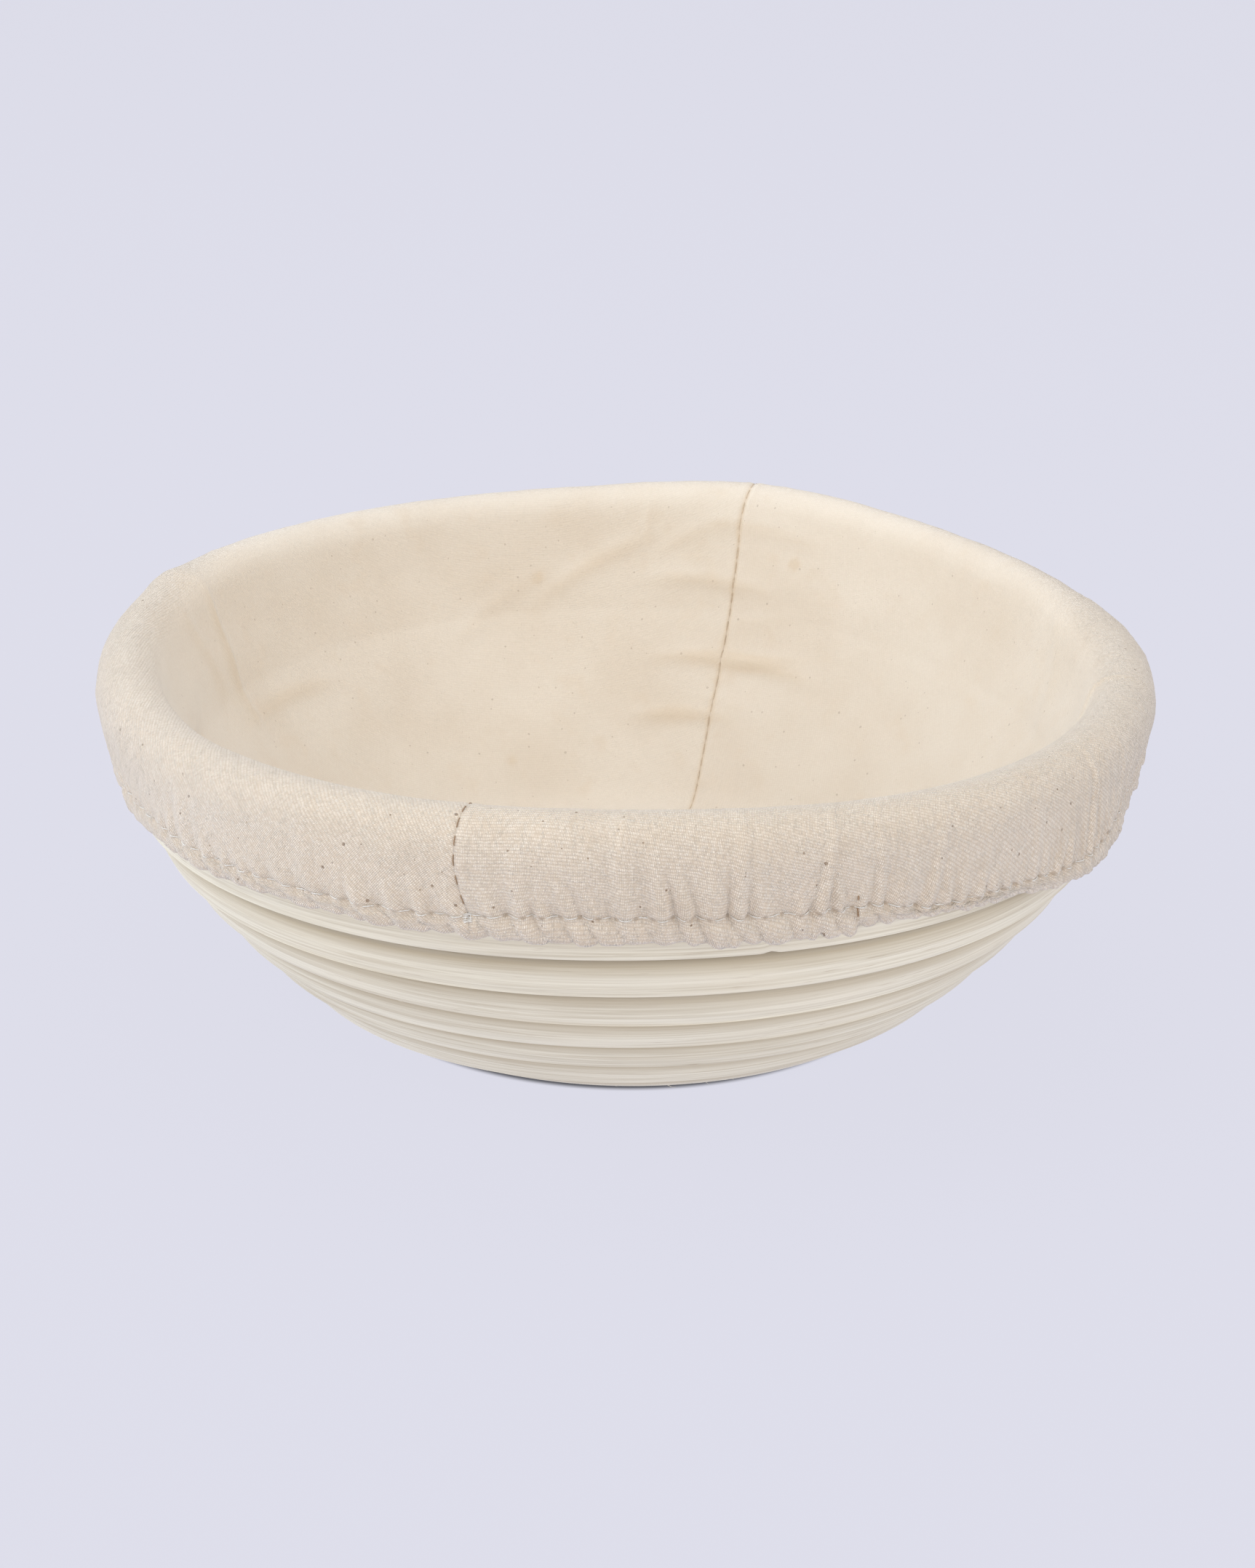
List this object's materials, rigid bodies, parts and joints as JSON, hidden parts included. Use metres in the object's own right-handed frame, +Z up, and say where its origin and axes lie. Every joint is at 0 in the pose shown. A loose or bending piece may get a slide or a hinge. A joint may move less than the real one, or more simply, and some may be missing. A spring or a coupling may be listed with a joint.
{
  "type": "banneton basket",
  "caption": "Round bread-proofing basket of coiled rattan cane, with a removable elasticated cloth liner that rolls over the rim.",
  "frame": {"origin": "centre of the underside, on the surface the basket stands on", "axes": "+Z up, out of the basket's mouth. The liner's seam crosses the mouth at 73.7 degrees from +X, and its front end faces -Y"},
  "size_m": [0.2342, 0.2342, 0.0801],
  "materials": {
    "cane": "dry bare peeled rattan, pale, fine grain along the cane",
    "liner_cloth": "unbleached plain-weave cotton linen with dark flecks",
    "white_thread": "matt sewing thread",
    "seam_thread": "brown sewing thread",
    "elastic": "white covered elastic",
    "brad_steel": "plain wire"
  },
  "bodies": {
    "basket": {"base_cane_inner": "cane", "base_cane_outer": "cane", "rim_cane": "cane", "wall_cane_1": "cane", "wall_cane_2": "cane", "wall_cane_3": "cane", "wall_cane_4": "cane", "wall_cane_5": "cane", "wall_cane_6": "cane", "wire_brad_01": "brad_steel", "wire_brad_02": "brad_steel", "wire_brad_03": "brad_steel", "wire_brad_04": "brad_steel", "wire_brad_05": "brad_steel", "wire_brad_06": "brad_steel", "wire_brad_07": "brad_steel", "wire_brad_08": "brad_steel", "wire_brad_09": "brad_steel", "wire_brad_10": "brad_steel", "wire_brad_11": "brad_steel", "wire_brad_12": "brad_steel", "wire_brad_13": "brad_steel", "wire_brad_14": "brad_steel", "wire_brad_15": "brad_steel", "wire_brad_16": "brad_steel", "wire_brad_17": "brad_steel", "wire_brad_18": "brad_steel", "wire_brad_19": "brad_steel", "wire_brad_20": "brad_steel", "wire_brad_21": "brad_steel", "wire_brad_22": "brad_steel", "wire_brad_23": "brad_steel"},
    "liner": {"elastic_bar_tack": "seam_thread", "hem_elastic": "elastic", "hem_stitch_thread": "white_thread", "liner_panel_left": "liner_cloth", "liner_panel_right": "liner_cloth", "seam_bar_tack_back": "white_thread", "seam_bar_tack_front": "white_thread", "seam_stitch_thread": "seam_thread"}
  },
  "joints": [
    {"name": "liner_lift", "type": "slide", "parent": "basket", "child": "liner", "axis": [0, 0, 1], "range_m": [0, 0.12], "deforming": ["elastic_bar_tack", "hem_elastic", "hem_stitch_thread", "liner_panel_left", "liner_panel_right", "seam_bar_tack_back", "seam_bar_tack_front", "seam_stitch_thread"]}
  ]
}
